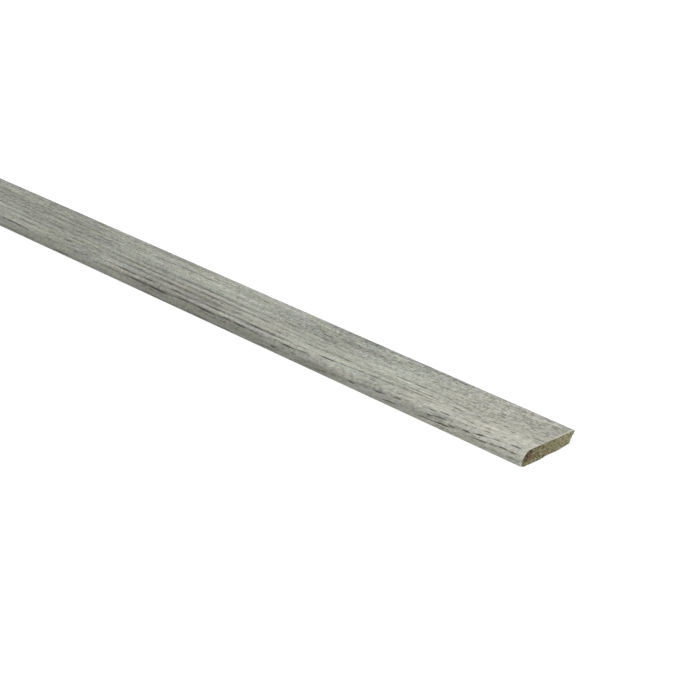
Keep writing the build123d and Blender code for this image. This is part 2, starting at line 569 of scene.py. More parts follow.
class Section:
    """Sizes across the strip, worked out from the frame and the section's settings."""

    def __init__(self, settings):
        self.lean = settings.undercut
        self.rise = settings.bevel_rise
        self.run = settings.bevel_run
        self.tip_radius = settings.core_tip_radius
        self.arc_step = settings.arc_step
        self.tear = settings.tear
        self.crush = settings.crush
        self.ragged = settings.ragged
        self.edge_top = settings.bevel_rise + settings.edge_strip
        self.face = CORE_HIGH.z
        self.top_edge = CORE_LOW.y
        self.round_radius = self.face - self.edge_top
        self.round_centre = (self.top_edge + self.round_radius, self.edge_top)
        self.tip_centre = (FOIL_HIGH.y - FOIL_THICKNESS - self.tip_radius, self.face - self.tip_radius)

    def on_tip(self, skin, angle):
        """A point of the tip's arc, that far out from the core's line."""
        radius = self.tip_radius + skin
        return (
            self.tip_centre[0] + radius * math.cos(angle),
            self.tip_centre[1] + radius * math.sin(angle),
        )

    def before_face(self, skin):
        """Length from the floor edge's bevel over the tip to the flat face, that far out."""
        undercut = math.dist(self.floor_stop(skin), self.on_tip(skin, -self.lean))
        return undercut + (self.tip_radius + skin) * (math.radians(90) + self.lean)

    def floor_stop(self, skin):
        """Where the floor edge meets its bevel, that far out from the core's line."""
        tip_end = self.on_tip(0, -self.lean)
        across = tip_end[0] - (tip_end[1] - self.rise) * math.tan(self.lean)
        return (across + skin * math.cos(self.lean), self.rise - skin * math.sin(self.lean))


class Pen:
    """Draws a line across the strip, and notes how far along the line each vertex is."""

    def __init__(self, bm, along, start, arc_step):
        self.bm = bm
        self.along = along
        self.arc_step = arc_step
        self.travel = layer_of(bm, "travel")
        self.last = bm.verts.new((along, *start))
        self.verts = [self.last]

    def straight(self, place):
        """Draws to a place, given across and up."""
        made = bmesh.ops.extrude_vert_indiv(self.bm, verts=[self.last])
        made["verts"][0].co = (self.along, *place)
        self.follow(made["verts"])

    def arc(self, centre, turn):
        """Draws about a centre, given across and up, by an angle."""
        before = set(self.bm.verts)
        steps = max(3, round(abs(turn) / self.arc_step))
        bmesh.ops.spin(
            self.bm, geom=[self.last], cent=(self.along, *centre), axis=(1, 0, 0), dvec=(0, 0, 0),
            angle=turn, steps=steps, space=Matrix.Identity(4), use_merge=False,
            use_normal_flip=False, use_duplicate=False,
        )
        self.follow([vert for vert in self.bm.verts if vert not in before])

    def follow(self, verts):
        for vert in verts:
            vert[self.travel] = self.last[self.travel] + (vert.co - self.last.co).length
            self.last = vert
            self.verts.append(vert)


def layer_of(bm, name):
    """The mesh's vertex value of that name, made when it is first asked for."""
    return bm.verts.layers.float.get(name) or bm.verts.layers.float.new(name)


def draw_decor_side(pen, section, skin):
    """Draws over the tip, face and round to the top edge, that far out from the core's line."""
    pen.straight(section.on_tip(skin, -section.lean))
    pen.arc(section.tip_centre, math.radians(90) + section.lean)
    pen.straight((section.round_centre[0], section.face + skin))
    pen.arc(section.round_centre, math.radians(90))
    pen.straight((section.top_edge - skin, section.rise))


def draw_out(bm, faces):
    """Extrudes faces from the far end to the near one."""
    made = bmesh.ops.extrude_face_region(bm, geom=faces, use_keep_orig=True)
    moved = [item for item in made["geom"] if isinstance(item, bmesh.types.BMVert)]
    bmesh.ops.translate(bm, verts=moved, vec=(LENGTH, 0, 0))
    bmesh.ops.recalc_face_normals(bm, faces=bm.faces[:])


def cut_across(bm, along):
    """Cuts the whole piece at a place along the strip."""
    bmesh.ops.bisect_plane(
        bm, geom=bm.verts[:] + bm.edges[:] + bm.faces[:], dist=CUT_MERGE,
        plane_co=(along, 0, 0), plane_no=(1, 0, 0),
    )


def ring_end(bm, side):
    """Cuts the rings behind a sawn end."""
    for depth in END_RINGS:
        cut_across(bm, side * (LENGTH / 2 - depth))


def on_cut(face):
    """Whether a face belongs to a sawn end."""
    return abs(face.normal.x) > 0.5


def slice_end(bm, side, normal, step, low, high):
    """Cuts a sawn end's last stretch by evenly spaced planes."""
    ring = LENGTH / 2 - END_RINGS[-1] - POINT_MERGE
    inside = [vert for vert in bm.verts if vert.co.x * side > ring]
    chosen = set(inside)
    edges = {edge for vert in inside for edge in vert.link_edges}
    faces = {face for vert in inside for face in vert.link_faces}
    geom = inside
    geom += [edge for edge in edges if all(vert in chosen for vert in edge.verts)]
    geom += [face for face in faces if all(vert in chosen for vert in face.verts)]
    for number in range(1, round((high - low) / step)):
        place = Vector(normal) * (low + number * step)
        cut = bmesh.ops.bisect_plane(bm, geom=geom, dist=CUT_MERGE, plane_co=place, plane_no=normal)
        geom = cut["geom"]


def wear(place, size, octaves=2):
    """Fractal noise from about -1 to 1 at a place, with marks of a given size each way."""
    scaled = Vector([place[i] / size[i] for i in range(3)])
    return noise.fractal(scaled, 1.0, 2.0, octaves)


def ease(value, low, high):
    """Smooth step from 0 at low to 1 at high."""
    share = min(1.0, max(0.0, (value - low) / (high - low)))
    return share * share * (3 - 2 * share)


def finish_piece(bm, name, materials, node):
    """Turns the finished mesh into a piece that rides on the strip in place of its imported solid."""
    mesh = bpy.data.meshes.new(name)
    bm.to_mesh(mesh)
    bm.free()
    for material in materials:
        mesh.materials.append(material)
    mesh.shade_smooth()
    mesh.set_sharp_from_angle(angle=SHARP_ANGLE)
    piece = bpy.data.objects.new(name, mesh)
    bpy.context.scene.collection.objects.link(piece)
    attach(piece, "root")
    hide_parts(node)
    return piece


class NodeSheet:
    """Adds nodes to a tree and joins them, so that a finish reads as a list of steps."""

    def __init__(self, tree):
        self.tree = tree

    def node(self, kind, feeds=(), **settings):
        made = self.tree.nodes.new(kind)
        for name, value in settings.items():
            setattr(made, name, value)
        for name, value in dict(feeds).items():
            self.feed(made.inputs[name], value)
        return made

    def feed(self, socket, value):
        if isinstance(value, bpy.types.NodeSocket):
            self.tree.links.new(value, socket)
        else:
            socket.default_value = value

    def maths(self, operation, *values):
        return self.node("ShaderNodeMath", dict(enumerate(values)), operation=operation).outputs[0]

    def product(self, first, *others):
        """Several values multiplied."""
        for other in others:
            first = self.maths("MULTIPLY", first, other)
        return first

    def place(self, along, across, along_size, across_size, layer=0.0):
        """Coordinates for a pattern with marks of a given size along and across the grain."""
        feeds = {
            "X": self.maths("DIVIDE", along, along_size),
            "Y": self.maths("DIVIDE", across, across_size),
            "Z": layer,
        }
        return self.node("ShaderNodeCombineXYZ", feeds).outputs[0]

    def speckle(self, vector, detail=2.0, scale=1.0):
        feeds = {"Vector": vector, "Scale": scale, "Detail": detail}
        return self.node("ShaderNodeTexNoise", feeds).outputs["Fac"]

    def spread(self, value, low, high, start=0.0, stop=1.0, kind="SMOOTHSTEP"):
        """Maps a range onto another: smoothly and no further, or in a straight line that goes on."""
        feeds = {"Value": value, "From Min": low, "From Max": high, "To Min": start, "To Max": stop}
        return self.node("ShaderNodeMapRange", feeds, interpolation_type=kind, clamp=False).outputs[0]

    def blend(self, share, first, second, kind="MIX"):
        made = self.node("ShaderNodeMix", data_type="RGBA", blend_type=kind, clamp_factor=True)
        self.feed(made.inputs["Factor"], share)
        self.feed(made.inputs["A"], first)
        self.feed(made.inputs["B"], second)
        return made.outputs["Result"]


def colour_of(value):
    """A colour setting as a shader's four numbers."""
    return (*value, 1.0)


def new_finish(name):
    """A material with an empty Principled shader, and the sheet to add its nodes to."""
    material = bpy.data.materials.new(name)
    material.use_nodes = True
    sheet = NodeSheet(material.node_tree)
    return material, sheet, material.node_tree.nodes["Principled BSDF"]


def new_group(name, inputs, outputs):
    """A node group of plain numbers, with the sheet to add its nodes to."""
    tree = bpy.data.node_groups.new(name, "ShaderNodeTree")
    for label in inputs:
        tree.interface.new_socket(label, in_out="INPUT", socket_type="NodeSocketFloat")
    for label in outputs:
        tree.interface.new_socket(label, in_out="OUTPUT", socket_type="NodeSocketFloat")
    sheet = NodeSheet(tree)
    return tree, sheet, sheet.node("NodeGroupInput").outputs, sheet.node("NodeGroupOutput").inputs


def mark_group():
    """One lens-shaped mark along the grain, laid over the marks before it."""
    labels = (
        "Along", "Across", "Start", "Stop", "First Place", "Last Place",
        "Half Width", "Strength", "Others",
    )
    tree, sheet, given, result = new_group("grain_mark", labels, ("Marks",))
    span = (given["Along"], given["Start"], given["Stop"])
    share = sheet.spread(*span, -MARK_LENS, MARK_LENS, "LINEAR")
    place = sheet.spread(*span, given["First Place"], given["Last Place"], "LINEAR")
    taper = sheet.maths("SUBTRACT", 1.0, sheet.product(share, share))
    aside = sheet.maths("ABSOLUTE", sheet.maths("SUBTRACT", given["Across"], place))
    inside = sheet.maths("SUBTRACT", taper, sheet.maths("DIVIDE", aside, given["Half Width"]))
    inside = sheet.maths("MINIMUM", sheet.product(inside, MARK_STEEPNESS), 1.0)
    shade = sheet.product(inside, given["Strength"])
    sheet.feed(result["Marks"], sheet.maths("MAXIMUM", shade, given["Others"]))
    return tree


def patch_group():
    """One broad soft patch, added to the patches before it."""
    labels = (
        "Along", "Across", "Middle Along", "Middle Across",
        "Reach Along", "Reach Across", "Amount", "Others",
    )
    tree, sheet, given, result = new_group("broad_patch", labels, ("Patches",))
    distance = []
    for way in ("Along", "Across"):
        aside = sheet.maths("SUBTRACT", given[way], given[f"Middle {way}"])
        share = sheet.maths("DIVIDE", aside, given[f"Reach {way}"])
        distance.append(sheet.product(share, share))
    inside = sheet.spread(sheet.maths("ADD", *distance), 0.0, 1.0, 1.0, 0.0)
    patches = sheet.maths("MULTIPLY_ADD", inside, given["Amount"], given["Others"])
    sheet.feed(result["Patches"], patches)
    return tree


def lay_marks(sheet, group, marks, along, across):
    """Lays one mark after another along the grain."""
    laid = 0.0
    for start, stop, first, last, width, strength in marks:
        feeds = {
            "Along": along, "Across": across, "Start": start, "Stop": stop,
            "First Place": first, "Last Place": last, "Half Width": width / 2,
            "Strength": strength, "Others": laid,
        }
        laid = sheet.node("ShaderNodeGroup", feeds, node_tree=group).outputs["Marks"]
    return laid


def lay_patches(sheet, group, patches, along, across, base=0.0):
    """Adds broad patches to a base."""
    laid = base
    for middle_along, middle_across, reach_along, reach_across, amount in patches:
        feeds = {
            "Along": along, "Across": across,
            "Middle Along": middle_along, "Middle Across": middle_across,
            "Reach Along": reach_along, "Reach Across": reach_across,
            "Amount": amount, "Others": laid,
        }
        laid = sheet.node("ShaderNodeGroup", feeds, node_tree=group).outputs["Patches"]
    return laid


def lay_pores(sheet, along, across, along_size, across_size):
    """Scattered short pores, some deeper than others."""
    feeds = {"Vector": sheet.place(along, across, along_size, across_size), "Scale": 1.0}
    cells = sheet.node("ShaderNodeTexVoronoi", feeds, voronoi_dimensions="2D").outputs
    depth = sheet.node("ShaderNodeSeparateColor", {"Color": cells["Color"]}).outputs["Red"]
    pore = sheet.spread(cells["Distance"], 0.12, 0.34, 1.0, 0.0)
    return sheet.product(pore, sheet.spread(depth, 0.25, 1.0))


def coat(sheet, shader, colour, roughness, relief, depth, strength, specular):
    """Gives a shader its colour, its sheen and its fine relief."""
    sheet.feed(shader.inputs["Base Color"], colour)
    sheet.feed(shader.inputs["Roughness"], roughness)
    shader.inputs["Specular IOR Level"].default_value = specular
    bump = sheet.node("ShaderNodeBump", {"Height": relief, "Distance": depth, "Strength": strength})
    sheet.feed(shader.inputs["Normal"], bump.outputs["Normal"])


class PrintPlaces:
    """Places on the printed foil in millimetres: along from the near end, and across from the tip."""

    def __init__(self, sheet):
        self.sheet = sheet
        self.object = sheet.node("ShaderNodeTexCoord").outputs["Object"]
        lengthwise = sheet.node("ShaderNodeSeparateXYZ", {"Vector": self.object}).outputs["X"]
        self.along = sheet.maths("MULTIPLY_ADD", lengthwise, -1 / MM, NEAR_END / MM)
        travel = sheet.node("ShaderNodeAttribute", attribute_name="travel").outputs["Fac"]
        self.across = sheet.maths("DIVIDE", travel, MM)

        # Across the grain, which drifts towards the tip near the sawn end and wanders further on
        to_end = sheet.maths("SUBTRACT", BEND_START, self.along)
        bend = sheet.maths("SMOOTH_MAX", to_end, 0.0, BEND_EASE)
        drift = sheet.maths("MULTIPLY_ADD", bend, BEND_SLOPE, self.across)
        wander = sheet.spread(self.along, *WANDER_RISE, 0.3, 5.0)
        sway = sheet.speckle(sheet.place(self.along, self.across, 85.0, 14.0), detail=1.0)
        self.grain = sheet.maths("MULTIPLY_ADD", sheet.maths("SUBTRACT", sway, 0.5), wander, drift)

        # The same places shaken a little, so that the edges of marks and patches fray
        self.fray = sheet.maths("SUBTRACT", self.streaks(1.8, 0.9), 0.5)
        self.frayed = (
            sheet.maths("MULTIPLY_ADD", self.fray, 1.5, self.along),
            sheet.maths("MULTIPLY_ADD", self.fray, 0.28, self.across),
        )

    def streaks(self, along_size, across_size, layer=0.0):
        """Noise that follows the grain, with marks of a given size along and across it."""
        place = self.sheet.place(self.along, self.grain, along_size, across_size, layer)
        return self.sheet.speckle(place)


def draw_marks(sheet, places):
    """Soft lines, light lines and cracks that are listed for the stretch near the sawn end, the cracks
    with a painted shadow line at the foot of the round edge.
    """
    grain_mark = mark_group()
    listed = (SOFT_LINES, LIGHT_LINES, CRACKS_AND_SHADOW_LINE)
    soft, light, cracks = [lay_marks(sheet, grain_mark, marks, *places.frayed) for marks in listed]
    torn = sheet.spread(places.streaks(2.2, 0.7, 6.0), 0.32, 0.5, 0.7, 1.0)
    return soft, light, sheet.product(cracks, torn)


def draw_far_marks(sheet, places, soft, cracks):
    """Goes on past the listed marks with rings and dashes spaced like them, and broad stretches."""
    far = sheet.spread(places.along, *UNLISTED)
    wave = sheet.maths("MULTIPLY_ADD", places.fray, 0.5, places.grain)
    wave = sheet.maths("SINE", sheet.product(wave, 2 * math.pi / RING_SPACING))
    wave = sheet.product(wave, far)
    strength = sheet.spread(places.across, 2.0, 16.0, 0.3, 1.0)
    rings = sheet.product(sheet.spread(wave, 0.2, 1.0, 0.0, 0.55), strength)
    bands = sheet.spread(places.streaks(30.0, 2.2), 0.38, 0.6)
    soft = sheet.maths("MULTIPLY_ADD", rings, bands, soft)
    dashes = sheet.spread(places.streaks(10.0, 2.0), 0.55, 0.64)
    dashes = sheet.product(dashes, sheet.spread(wave, 0.75, 1.0), strength)
    cracks = sheet.maths("MAXIMUM", cracks, dashes)
    stretches = sheet.speckle(sheet.place(places.along, places.across, 170.0, 14.0, 9.0), detail=1.0)
    stretches = sheet.product(sheet.maths("SUBTRACT", stretches, 0.5), far)
    return soft, cracks, stretches


def draw_tone(sheet, places, broad_patch):
    """Broad tones and streaks of the print, and flecks that are calmer further on and on the round."""
    tone = lay_patches(sheet, broad_patch, TONE_PATCHES, *places.frayed, base=0.5)
    further = sheet.spread(places.along, 40.0, 150.0, 1.0, 0.68)
    past_tip = sheet.spread(places.across, 8.0, 11.0, 0.95, 0.76)
    flank = sheet.spread(places.across, 22.8, 24.2, 1.0, 0.55)
    flank = sheet.maths("MAXIMUM", flank, sheet.spread(places.along, 30.0, 60.0, 1.0, 0.0))
    calmer = sheet.product(further, past_tip, flank)
    for layer, (along_size, across_size, amount) in enumerate(PRINT_LAYERS):
        pattern = places.streaks(along_size, across_size, LAYER_STEP * layer)
        shift = sheet.product(sheet.maths("SUBTRACT", pattern, 0.5), amount)
        if along_size < LONGEST_FLECK:
            shift = sheet.product(shift, calmer)
        tone = sheet.maths("ADD", shift, tone)
    return tone


def draw_pores(sheet, places):
    """Pores of two sizes, denser in some streaks and towards the tip."""
    pores = [lay_pores(sheet, places.along, places.grain, *size) for size in PORE_SIZES]
    dense = sheet.spread(places.streaks(24.0, 3.0, 8.0), 0.35, 0.6, 0.35, 1.0)
    by_tip = sheet.spread(places.across, 9.0, 14.0, 1.0, 0.55)
    return sheet.product(sheet.maths("MAXIMUM", *pores), dense, by_tip)


def tint_print(sheet, places, broad_patch, settings, colour):
    """Cools the weathered stretches and the tip, and warms other stretches."""
    tints = places.streaks(26.0, 3.2, 5.0)
    by_tip = sheet.spread(places.across, 0.8, 3.0, 1.0, 0.0)
    cool = sheet.maths("MAXIMUM", sheet.spread(tints, 0.5, 0.65), by_tip)
    cool = lay_patches(sheet, broad_patch, COOL_PATCHES, *places.frayed, cool)
    colour = sheet.blend(cool, colour, colour_of(settings.cool_grain), "MULTIPLY")
    blush = sheet.spread(tints, 0.45, 0.32)
    blush = lay_patches(sheet, broad_patch, BLUSH_PATCHES, *places.frayed, blush)
    return sheet.blend(blush, colour, colour_of(settings.blush_grain), "MULTIPLY")


def paint_rim_highlights(sheet, places, settings, colour):
    """Paints highlights on the print: pale along both sawn rims, by the tip and at the foot of the
    round.
    """
    from_far_end = sheet.maths("SUBTRACT", LENGTH / MM, places.along)
    from_end = sheet.maths("MINIMUM", places.along, from_far_end)
    by_tip = sheet.spread(places.across, 8.0, 12.0, 0.26, 0.04)
    lit_band = sheet.maths("MAXIMUM", by_tip, sheet.spread(places.across, 25.2, 25.7, 0.0, 0.75))
    patchy = sheet.spread(sheet.speckle(places.object, scale=900.0), 0.3, 0.6, 0.4, 1.0)
    # Painted highlight within the last fraction of a millimetre before each sawn end, patchy
    highlit = sheet.product(sheet.spread(from_end, 0.3, 0.7, 1.0, 0.0), lit_band, patchy)
    return sheet.blend(highlit, colour, colour_of(settings.rim_highlight))


def make_foil_print(settings):
    """Weathered grey oak, printed along the foil, with a painted shadow line at the round's foot and
    painted highlights along the sawn rims.
    """
    material, sheet, shader = new_finish("grey_oak_print")
    places = PrintPlaces(sheet)
    soft, light, cracks = draw_marks(sheet, places)
    breaks = places.streaks(9.0, 1.6)
    soft = sheet.product(soft, sheet.spread(breaks, 0.35, 0.6, 0.4, 1.0))
    soft, cracks, stretches = draw_far_marks(sheet, places, soft, cracks)
    broad_patch = patch_group()
    tone = draw_tone(sheet, places, broad_patch)
    pores = draw_pores(sheet, places)
    for marks, amount in ((stretches, 1.0), (soft, -0.36), (light, 0.32), (pores, -0.42)):
        tone = sheet.maths("MULTIPLY_ADD", marks, amount, tone)

    colour = sheet.blend(tone, colour_of(settings.dark_grain), colour_of(settings.light_grain))
    colour = tint_print(sheet, places, broad_patch, settings, colour)
    # Cracks, and the painted shadow line at the foot of the round edge, in one dark colour
    colour = sheet.blend(sheet.product(cracks, 0.92), colour, colour_of(settings.crack_and_shadow))
    colour = paint_rim_highlights(sheet, places, settings, colour)
    roughness = sheet.spread(breaks, 0.3, 0.7, 0.5, 0.62)
    sunk = sheet.maths("ADD", pores, cracks)
    relief = sheet.maths("SUBTRACT", sheet.product(breaks, 0.5), sunk)
    coat(sheet, shader, colour, roughness, relief, settings.emboss, strength=0.6, specular=0.35)
    return material


def make_cut_edge(settings):
    """Paper backing of the foil where the saw cut it: browned, and pale on the round and by the tip."""
    material, sheet, shader = new_finish("foil_cut_edge")
    place = sheet.node("ShaderNodeTexCoord").outputs["Object"]
    crumbs = sheet.speckle(place, detail=3.0, scale=1600.0)
    travel = sheet.node("ShaderNodeAttribute", attribute_name="travel").outputs["Fac"]
    by_tip = sheet.spread(travel, 7 * MM, 12 * MM, 0.5, 0.1)
    clean = sheet.maths("MAXIMUM", by_tip, sheet.spread(travel, 20.2 * MM, 22.4 * MM))
    clean = sheet.maths("MULTIPLY_ADD", sheet.maths("SUBTRACT", crumbs, 0.5), 0.6, clean)
    colour = sheet.blend(clean, colour_of(settings.dirty_edge), colour_of(settings.cut_edge))
    roughness = sheet.spread(crumbs, 0.3, 0.7, 0.7, 0.85)
    coat(sheet, shader, colour, roughness, crumbs, 0.03 * MM, strength=0.6, specular=0.25)
    return material


def board_places(sheet):
    """The board's own coordinates in millimetres: along, across and up."""
    place = sheet.node("ShaderNodeTexCoord").outputs["Object"]
    split = sheet.node("ShaderNodeSeparateXYZ", {"Vector": place}).outputs
    return [sheet.maths("DIVIDE", split[axis], MM) for axis in "XYZ"]


def tint_board(sheet, settings, across, up, patches):
    """Broad colours of the sawn board, greener and paler by the floor edge and low beside the round."""
    low = sheet.spread(up, 0.8, 1.8, 1.0, 0.0)
    low_round = sheet.product(low, sheet.spread(across, -6.0, -1.0, 1.0, 0.0))
    green = sheet.spread(patches, 0.48, 0.68, 0.0, 0.7)
    green = sheet.maths("MAXIMUM", green, sheet.spread(across, 6.0, 9.0))
    green = sheet.maths("MAXIMUM", green, low_round)
    colour = sheet.blend(green, colour_of(settings.fibre), colour_of(settings.olive))
    paler = sheet.spread(across, 1.0, 10.0, 0.0, 0.4)
    colour = sheet.blend(paler, colour, colour_of(settings.torn_fibre))
    darker = sheet.spread(across, -4.0, 3.0, 0.16, 0.0)
    colour = sheet.blend(darker, colour, colour_of(settings.pit))
    browner = sheet.spread(across, -3.0, 2.0, 0.16, 0.0)
    colour = sheet.blend(browner, colour, colour_of(settings.russet))
    paler = sheet.product(low_round, sheet.spread(across, -9.5, -6.5, 0.2, 0.4))
    return sheet.blend(paler, colour, colour_of(settings.torn_fibre))


def brown_and_shade_round(sheet, section, settings, places, fibres, grains, colour):
    """Browns a patch inside the near end's round, and paints a dark arc of shadow between it and the
    foil.
    """
    along, across, up = places
    near = sheet.spread(along, 0.0, 1.0)
    middle_across, middle_up = [size / MM for size in section.round_centre]
    beside = sheet.maths("SUBTRACT", across, middle_across)
    above = sheet.maths("SUBTRACT", up, middle_up)

    burn_across = sheet.maths("DIVIDE", sheet.maths("ADD", beside, 0.3), 3.0)
    burn_up = sheet.maths("DIVIDE", sheet.maths("SUBTRACT", above, 2.0), 1.5)
    burn = sheet.maths("MULTIPLY_ADD", burn_up, burn_up, sheet.product(burn_across, burn_across))
    patchy = sheet.spread(fibres, 0.35, 0.6, 1.0, 0.5)
    burn = sheet.product(sheet.spread(burn, 0.1, 1.0, 0.8, 0.0), near, patchy)
    colour = sheet.blend(burn, colour, colour_of(settings.russet))

    # Painted shadow: a dark arc inside the round, just within the foil
    out = sheet.maths("MULTIPLY_ADD", above, above, sheet.product(beside, beside))
    out = sheet.maths("SQRT", out)
    inward = sheet.product(sheet.spread(out, 1.8, 2.6), sheet.spread(out, 3.3, 4.0, 1.0, 0.3))
    foot = sheet.product(inward, sheet.spread(beside, -1.5, -1.0, 1.0, 0.55))
    crown = sheet.product(sheet.spread(out, 2.6, 3.4), sheet.spread(beside, -0.8, -0.4))
    line = sheet.product(
        sheet.maths("MAXIMUM", foot, crown), sheet.spread(beside, -0.2, 1.0, 1.0, 0.0),
        sheet.spread(above, 0.6, 1.5), sheet.spread(grains, 0.4, 0.65, 1.0, 0.75), near,
    )
    return sheet.blend(line, colour, colour_of(settings.painted_arc_shadow))


def make_sawn_board(section, settings):
    """Fibreboard across the saw cut: olive brown, with pale torn fibres, painted shade in its pits and
    a painted shadow arc inside the round.
    """
    material, sheet, shader = new_finish("sawn_fibreboard")
    places = board_places(sheet)
    across, up = places[1:]
    patches = sheet.speckle(sheet.place(across, up, 6.0, 2.6))
    grains = sheet.speckle(sheet.place(across, up, 1.2, 1.0, 4.0), detail=3.0)
    fibres = sheet.speckle(sheet.place(across, up, 2.2, 0.9, 8.0))
    hairs = sheet.speckle(sheet.place(across, up, 1.2, 0.2, 2.0))
    pits = sheet.node("ShaderNodeAttribute", attribute_name="pit").outputs["Fac"]

    colour = tint_board(sheet, settings, across, up, patches)
    colour = brown_and_shade_round(sheet, section, settings, places, fibres, grains, colour)
    torn_fibre, pit = colour_of(settings.torn_fibre), colour_of(settings.pit)
    colour = sheet.blend(sheet.spread(fibres, 0.5, 0.68, 0.0, 0.7), colour, torn_fibre)
    colour = sheet.blend(sheet.spread(grains, 0.32, 0.48, 0.75, 0.0), colour, pit)
    # Painted shade in the pits: the deeper the pit, the darker
    colour = sheet.blend(sheet.spread(pits, 0.3, 1.0, 0.0, 0.6), colour, pit)
    roughness = sheet.spread(grains, 0.3, 0.7, 0.8, 0.95)
    coat(sheet, shader, colour, roughness, hairs, 0.05 * MM, strength=0.8, specular=0.2)
    return material


def make_sanded_board(settings):
    """Fibreboard of the glue face: sanded smooth along the strip, with flecks of fibre."""
    material, sheet, shader = new_finish("sanded_fibreboard")
    along, across = board_places(sheet)[:2]
    strokes = sheet.speckle(sheet.place(along, across, 30.0, 0.25), detail=3.0)
    flecks = sheet.speckle(sheet.place(along, across, 1.6, 0.5), detail=3.0)
    clouds = sheet.speckle(sheet.place(along, across, 40.0, 9.0))
    tone = sheet.product(sheet.maths("ADD", strokes, flecks), 0.5)
    tone = sheet.maths("MULTIPLY_ADD", sheet.maths("SUBTRACT", clouds, 0.5), 0.4, tone)
    tone = sheet.spread(tone, 0.28, 0.6)
    dark = [share * 0.55 for share in settings.sanded]
    colour = sheet.blend(tone, colour_of(dark), colour_of(settings.sanded))
    roughness = sheet.spread(flecks, 0.3, 0.7, 0.7, 0.9)
    coat(sheet, shader, colour, roughness, tone, 0.04 * MM, strength=0.5, specular=0.25)
    return material


def model_foil(section, settings):
    """Wraps the foil: outside and inside lines joined, drawn along the strip and damaged by the saw."""
    bm = bmesh.new()
    skin = layer_of(bm, "skin")
    for lift in (FOIL_THICKNESS, 0.0):
        pen = Pen(bm, FOIL_LOW.x, section.floor_stop(lift), section.arc_step)
        pen.last[pen.travel] = -section.before_face(lift)
        draw_decor_side(pen, section, lift)
        for vert in pen.verts:
            vert[skin] = lift / FOIL_THICKNESS
    bmesh.ops.bridge_loops(bm, edges=bm.edges[:])
    draw_out(bm, bm.faces[:])
    for side in (-1, 1):
        ring_end(bm, side)
        slice_end(bm, side, (0, 1, 0), settings.grid, section.round_centre[0], section.tip_centre[0])
        slice_end(bm, side, (0, 0, 1), settings.grid, section.rise, section.tip_centre[1])
    for row in range(1, FOIL_BAKE_ROWS):
        cut_across(bm, FOIL_LOW.x + LENGTH * row / FOIL_BAKE_ROWS)
    for face in bm.faces:
        face.material_index = 1 if on_cut(face) else 0
    lay_out_foil(bm)
    chip_rims(bm, settings.rim_chip)
    break_out(bm, section)
    crush_undercut(bm, section)
    return bm


def chip_rims(bm, deepest):
    """Notches the foil's sawn rims."""
    for vert in bm.verts:
        if LENGTH / 2 - abs(vert.co.x) < ON_END:
            notch = ease(wear(vert.co, CHIP_SIZE), *CHIP_RANGE)
            vert.co.x -= math.copysign(deepest * notch, vert.co.x)


def lay_out_foil(bm):
    """Lays the foil out for baking: its length folded into rows, its hidden inside and its rims."""
    baked = bm.loops.layers.uv.new("OFBake")
    travel, skin = layer_of(bm, "travel"), layer_of(bm, "skin")
    row_length = LENGTH / FOIL_BAKE_ROWS
    row_height = FOIL_BAKE_SHARE / FOIL_BAKE_ROWS
    travels = [vert[travel] for vert in bm.verts]
    first, last = min(travels) - FOIL_THICKNESS, max(travels) + FOIL_THICKNESS
    for face in bm.faces:
        middle = face.calc_center_median()
        row = min(FOIL_BAKE_ROWS - 1, int((middle.x - FOIL_LOW.x) / row_length))
        hidden = all(loop.vert[skin] < 0.5 for loop in face.loops)
        for loop in face.loops:
            place, vert = loop.vert.co, loop.vert
            past = FOIL_THICKNESS * (1 - vert[skin])
            if face.material_index == 1:
                along = (vert[travel] - first) / (last - first)
                band = RIM_BAKE_BANDS[middle.x > 0]
                share = vert[skin]
            elif hidden:
                along = (place.x - FOIL_LOW.x) / LENGTH
                band = HIDDEN_BAKE_BAND
                share = (vert[travel] - first) / (last - first)
            else:
                along = (place.x - FOIL_LOW.x) / row_length - row
                band = (row * row_height, (row + ROW_FILL) * row_height)
                outward = past if vert[travel] > 0 else -past
                share = (vert[travel] + outward - first) / (last - first)
            loop[baked].uv = (along, band[0] + share * (band[1] - band[0]))


def model_core(section, settings):
    """Builds the fibreboard: its section drawn along the strip, then both ends sawn."""
    bm = bmesh.new()
    pit = layer_of(bm, "pit")
    start, floor_stop = (section.top_edge + section.run, 0), section.floor_stop(0)
    pen = Pen(bm, CORE_LOW.x, start, section.arc_step)
    pen.straight((floor_stop[0] - section.run, 0))
    pen.straight(floor_stop)
    draw_decor_side(pen, section, 0.0)
    pen.straight(start)
    around = pen.last[pen.travel]
    bmesh.ops.remove_doubles(bm, verts=bm.verts[:], dist=POINT_MERGE)
    made = bmesh.ops.edgeloop_fill(bm, edges=bm.edges[:])
    draw_out(bm, made["faces"])
    for side in (-1, 1):
        ring_end(bm, side)
        slice_end(bm, side, (0, 1, 0), settings.grid, CORE_LOW.y, CORE_HIGH.y)
        slice_end(bm, side, (0, 0, 1), settings.grid, CORE_LOW.z, CORE_HIGH.z)
    for row in range(1, CORE_BAKE_ROWS):
        cut_across(bm, CORE_LOW.x + LENGTH * row / CORE_BAKE_ROWS)
    for face in bm.faces:
        face.material_index = 0 if on_cut(face) else 1
    lay_out_core(bm, around)
    saw_ends(bm, pit, settings)
    break_out(bm, section)
    crush_undercut(bm, section)
    return bm


def torn_height(across, side, section):
    """Height of the back edge that came away at a sawn end, at a place across."""
    ragged = section.ragged * (1 + wear((across, side, 0), (RAGGED_SIZE, 1, 1), 3))
    if side < 0:
        return ragged
    return ragged + section.tear * (ease(across, *TEAR_STEP) + ease(across, *TEAR_CORNER)) / 2


